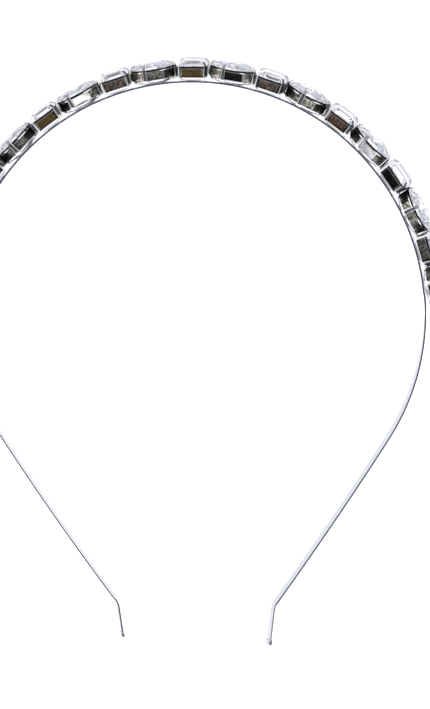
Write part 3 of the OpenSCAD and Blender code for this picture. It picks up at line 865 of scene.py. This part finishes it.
def studio_light(stage):
    """Soft light from all round. Reflections also see the dark camera straight above and a dark side of the
    room, and what shows through the stones has the uneven light of a furnished room besides."""
    world = bpy.data.worlds.new("studio")
    bpy.context.scene.world = world
    world.use_nodes = True
    world.cycles.sampling_method = "NONE"
    tree = world.node_tree
    tree.nodes.clear()
    direction = add_node(tree, "TexCoord").outputs["Generated"]

    def patch(middle, size, inner):
        """Soft-edged oval patch of the sky: distance from its middle on each axis, as a share of its size."""
        away = direction
        for operation, by in (("SUBTRACT", Vector(middle).normalized()), ("DIVIDE", size)):
            away = add_node(tree, "VectorMath", {0: away, 1: by}, operation=operation).outputs[0]
        away = add_node(tree, "VectorMath", {0: away}, operation="LENGTH").outputs["Value"]
        return ramp(tree, away, 1, inner)

    def patches(scale, low, high):
        """Soft patches all over the sky, from noise on the direction."""
        noise = add_node(tree, "TexNoise", {"Vector": direction, "Scale": scale, "Detail": 0})
        return ramp(tree, noise.outputs["Fac"], low, high)

    def light(shade, level=1):
        """Background of one colour."""
        return add_node(tree, "Background", {"Color": shade, "Strength": level}).outputs[0]

    def sky(open_sky, *darker):
        """Background that goes down from one colour to others where their masks say so."""
        shade = (*open_sky, 1)
        for mask, value in darker:
            shade = mixed(tree, mask, shade, (*value, 1))
        return light(shade)

    above = patch((-0.12, -0.26, 0.95), (0.8, 0.5, 1.4), 0.75)
    side = patch((1, -0.3, 0.15), (0.75, 0.75, 0.6), 0.4)
    room, gaps = patches(3.5, 0.46, 0.6), patches(8, 0.52, 0.6)
    reflected = sky((1.25, 1.24, 1.22), (above, (0.14, 0.14, 0.14)), (side, (0.06, 0.06, 0.06)))
    refracted = sky((1.2, 1.2, 1.24), (room, (0.72, 0.72, 0.77)), (above, (0.9, 0.9, 0.95)),
                    (gaps, (0.12, 0.12, 0.13)), (side, (0.42, 0.42, 0.45)))
    plain = light((1, 1, 1, 1))
    shown = light((0.8, 0.8, 0.8, 1), stage.floor_light)
    rays = add_node(tree, "LightPath").outputs
    for ray, other in (("Glossy", reflected), ("Transmission", refracted), ("Camera", plain)):
        shown = add_node(tree, "MixShader", {0: rays[f"Is {ray} Ray"], 1: shown, 2: other}).outputs[0]
    add_node(tree, "OutputWorld", {"Surface": shown})


def aim_camera(s, stage):
    """Camera nearly straight above, looking down at the strip's middle line."""
    towards = Vector((sin(stage.camera_right), sin(stage.camera_up), 1)).normalized()
    across = Vector((0, 1, 0)).cross(towards).normalized()
    up = towards.cross(across)
    camera = bpy.data.objects.new("camera", bpy.data.cameras.new("camera"))
    bpy.context.scene.collection.objects.link(camera)
    aim = Vector((stage.aim_x, stage.aim_y, floor_drop(s)))
    turn = Matrix((across, up, towards)).transposed().to_4x4()
    camera.matrix_world = Matrix.Translation(aim + towards * stage.distance) @ turn
    camera.data.sensor_width = 36
    camera.data.lens = camera.data.sensor_width * stage.distance / stage.seen_height
    camera.data.clip_start, camera.data.clip_end = 0.05, 10
    bpy.context.scene.camera = camera


class HEADBAND_OT_strip(bpy.types.Operator):
    """Build the springy metal strip"""

    bl_idname = "headband.strip"
    bl_label = "Metal strip"
    bl_options = {"REGISTER", "UNDO"}

    def execute(self, context):
        s, shade_and_wear_colour = context.scene.headband, context.scene.headband_colours.strip_reflection_colour
        metal = plated("Plated strip", "silver_metal", shade_and_wear_colour, low=0.06, high=0.14, scale=500, bump=0.15)
        skin = rows_to_skin(strip_rows(s))
        piece = add_piece("band_strip", [skin], metal, ["band_frame"], radians(60))
        # The strip's edges and arms get painted dark reflections
        paint_shade_and_dullness(piece, np.append(strip_painted_reflection(s), [0, 0]))
        return {"FINISHED"}


class HEADBAND_OT_settings(bpy.types.Operator):
    """Build the trays and claws that hold the stones"""

    bl_idname = "headband.settings"
    bl_label = "Settings"
    bl_options = {"REGISTER", "UNDO"}

    def execute(self, context):
        # Colour of the painted shadow under the trays and the painted dark reflections on the claws
        s, shade_and_wear_colour = context.scene.headband, context.scene.headband_colours.settings_shade_colour
        metal = plated("Plated settings", "silver_metal", shade_and_wear_colour, low=0.05, high=0.12, scale=900, bump=0.2)
        settings(s, "oval_settings", metal, OVAL_PLACES, tray_rows(s, oval_outline),
                 lambda k: oval_claws(s, CLAW_TURNS[k]), OVAL_CLAW_SHADE, OVAL_TRAY_SHADOW)
        settings(s, "oblong_settings", metal, OBLONG_PLACES, tray_rows(s, rounded_oblong),
                 lambda k: oblong_claws(s), OBLONG_CLAW_SHADE, OBLONG_TRAY_SHADOW)
        return {"FINISHED"}


class HEADBAND_OT_foils(bpy.types.Operator):
    """Build the lacquered foil on the back of each stone"""

    bl_idname = "headband.foils"
    bl_label = "Foil backs"
    bl_options = {"REGISTER", "UNDO"}

    def execute(self, context):
        s, colours = context.scene.headband, context.scene.headband_colours
        foils(s, colours, "oval_foils", OVAL_PLACES, oval_cup,
              lambda s, inset: oval_outline(s, inset, 64), OVAL_WINDOWS, (4, 5, 6))
        foils(s, colours, "oblong_foils", OBLONG_PLACES, oblong_cup, cut_corners, OBLONG_WINDOWS, (5, 6, 7))
        return {"FINISHED"}


class HEADBAND_OT_stones(bpy.types.Operator):
    """Give the stones their crystal"""

    bl_idname = "headband.stones"
    bl_label = "Stones"
    bl_options = {"REGISTER", "UNDO"}

    def execute(self, context):
        glass = crystal(context.scene.headband_colours.crystal)
        for name, node in frame["nodes"].items():
            if "_stone_" in name:
                node.data.materials.clear()
                node.data.materials.append(glass)
        return {"FINISHED"}


class HEADBAND_OT_caps(bpy.types.Operator):
    """Build the two caps on the tips"""

    bl_idname = "headband.caps"
    bl_label = "End caps"
    bl_options = {"REGISTER", "UNDO"}

    def execute(self, context):
        s, shade_and_wear_colour = context.scene.headband, context.scene.headband_colours.worn_caps
        metal = plated("Plated caps", "cap_metal", shade_and_wear_colour, low=0.1, high=0.2, scale=900, bump=0.2)
        for name, arm, side in (("cap_left", s.left, -1), ("cap_right", s.right, 1)):
            skin = rows_to_skin(cap_points(s, arm, side))
            piece = add_piece(name, [skin], metal, ["end_" + name], radians(60))
            paint_shade_and_dullness(piece, np.full(len(piece.data.vertices), CAP_DULL))
        return {"FINISHED"}


class HEADBAND_OT_stage(bpy.types.Operator):
    """Set up the floor, the light and the camera"""

    bl_idname = "headband.stage"
    bl_label = "Stage"
    bl_options = {"REGISTER", "UNDO"}

    def execute(self, context):
        scene, stage = context.scene, context.scene.headband_stage
        mesh, half = bpy.data.meshes.new("floor"), stage.floor_half
        corners = [(-half, -half, 0), (half, -half, 0), (half, half, 0), (-half, half, 0)]
        mesh.from_pydata(corners, [], [(0, 1, 2, 3)])
        mesh.materials.append(pale_floor(stage))
        floor = bpy.data.objects.new("floor", mesh)
        scene.collection.objects.link(floor)
        studio_light(stage)
        aim_camera(scene.headband, stage)
        scene.view_settings.view_transform = "Standard"
        # With fewer bounces, the light inside a foiled stone turns black
        scene.cycles.max_bounces = scene.cycles.transmission_bounces = 32
        scene.cycles.glossy_bounces = 24
        return {"FINISHED"}


class HEADBAND_PT_build(bpy.types.Panel):
    """Lists the steps of the build, and then the sizes and colours."""

    bl_label = "Crystal headband"
    bl_space_type = "VIEW_3D"
    bl_region_type = "UI"
    bl_category = "Headband"

    def draw(self, context):
        for step in STEPS:
            self.layout.operator(step.bl_idname)
        scene, sizes = context.scene, context.scene.headband
        for group in (sizes, sizes.right, sizes.left, scene.headband_colours, scene.headband_stage):
            box = self.layout.box()
            for name in group.__annotations__:
                if name not in ("right", "left"):
                    box.prop(group, name)


STEPS = (HEADBAND_OT_strip, HEADBAND_OT_settings, HEADBAND_OT_foils, HEADBAND_OT_stones, HEADBAND_OT_caps,
         HEADBAND_OT_stage)
CLASSES = (ArmSizes, BandSizes, FinishColours, StageSettings, *STEPS, HEADBAND_PT_build)


def register():
    for cls in CLASSES:
        bpy.utils.register_class(cls)
    bpy.types.Scene.headband = PointerProperty(type=BandSizes)
    bpy.types.Scene.headband_colours = PointerProperty(type=FinishColours)
    bpy.types.Scene.headband_stage = PointerProperty(type=StageSettings)


def unregister():
    del bpy.types.Scene.headband_stage
    del bpy.types.Scene.headband_colours
    del bpy.types.Scene.headband
    for cls in reversed(CLASSES):
        bpy.utils.unregister_class(cls)


def main():
    """Sets the left arm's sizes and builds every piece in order."""
    register()
    left = bpy.context.scene.headband.left
    for name, millimetres in LEFT_LENGTHS.items():
        setattr(left, name, millimetres * MM)
    for name, degrees in LEFT_ANGLES.items():
        setattr(left, name, radians(degrees))
    bpy.ops.headband.strip()
    bpy.ops.headband.settings()
    bpy.ops.headband.foils()
    bpy.ops.headband.stones()
    bpy.ops.headband.caps()
    bpy.ops.headband.stage()


if __name__ == "__main__":
    main()
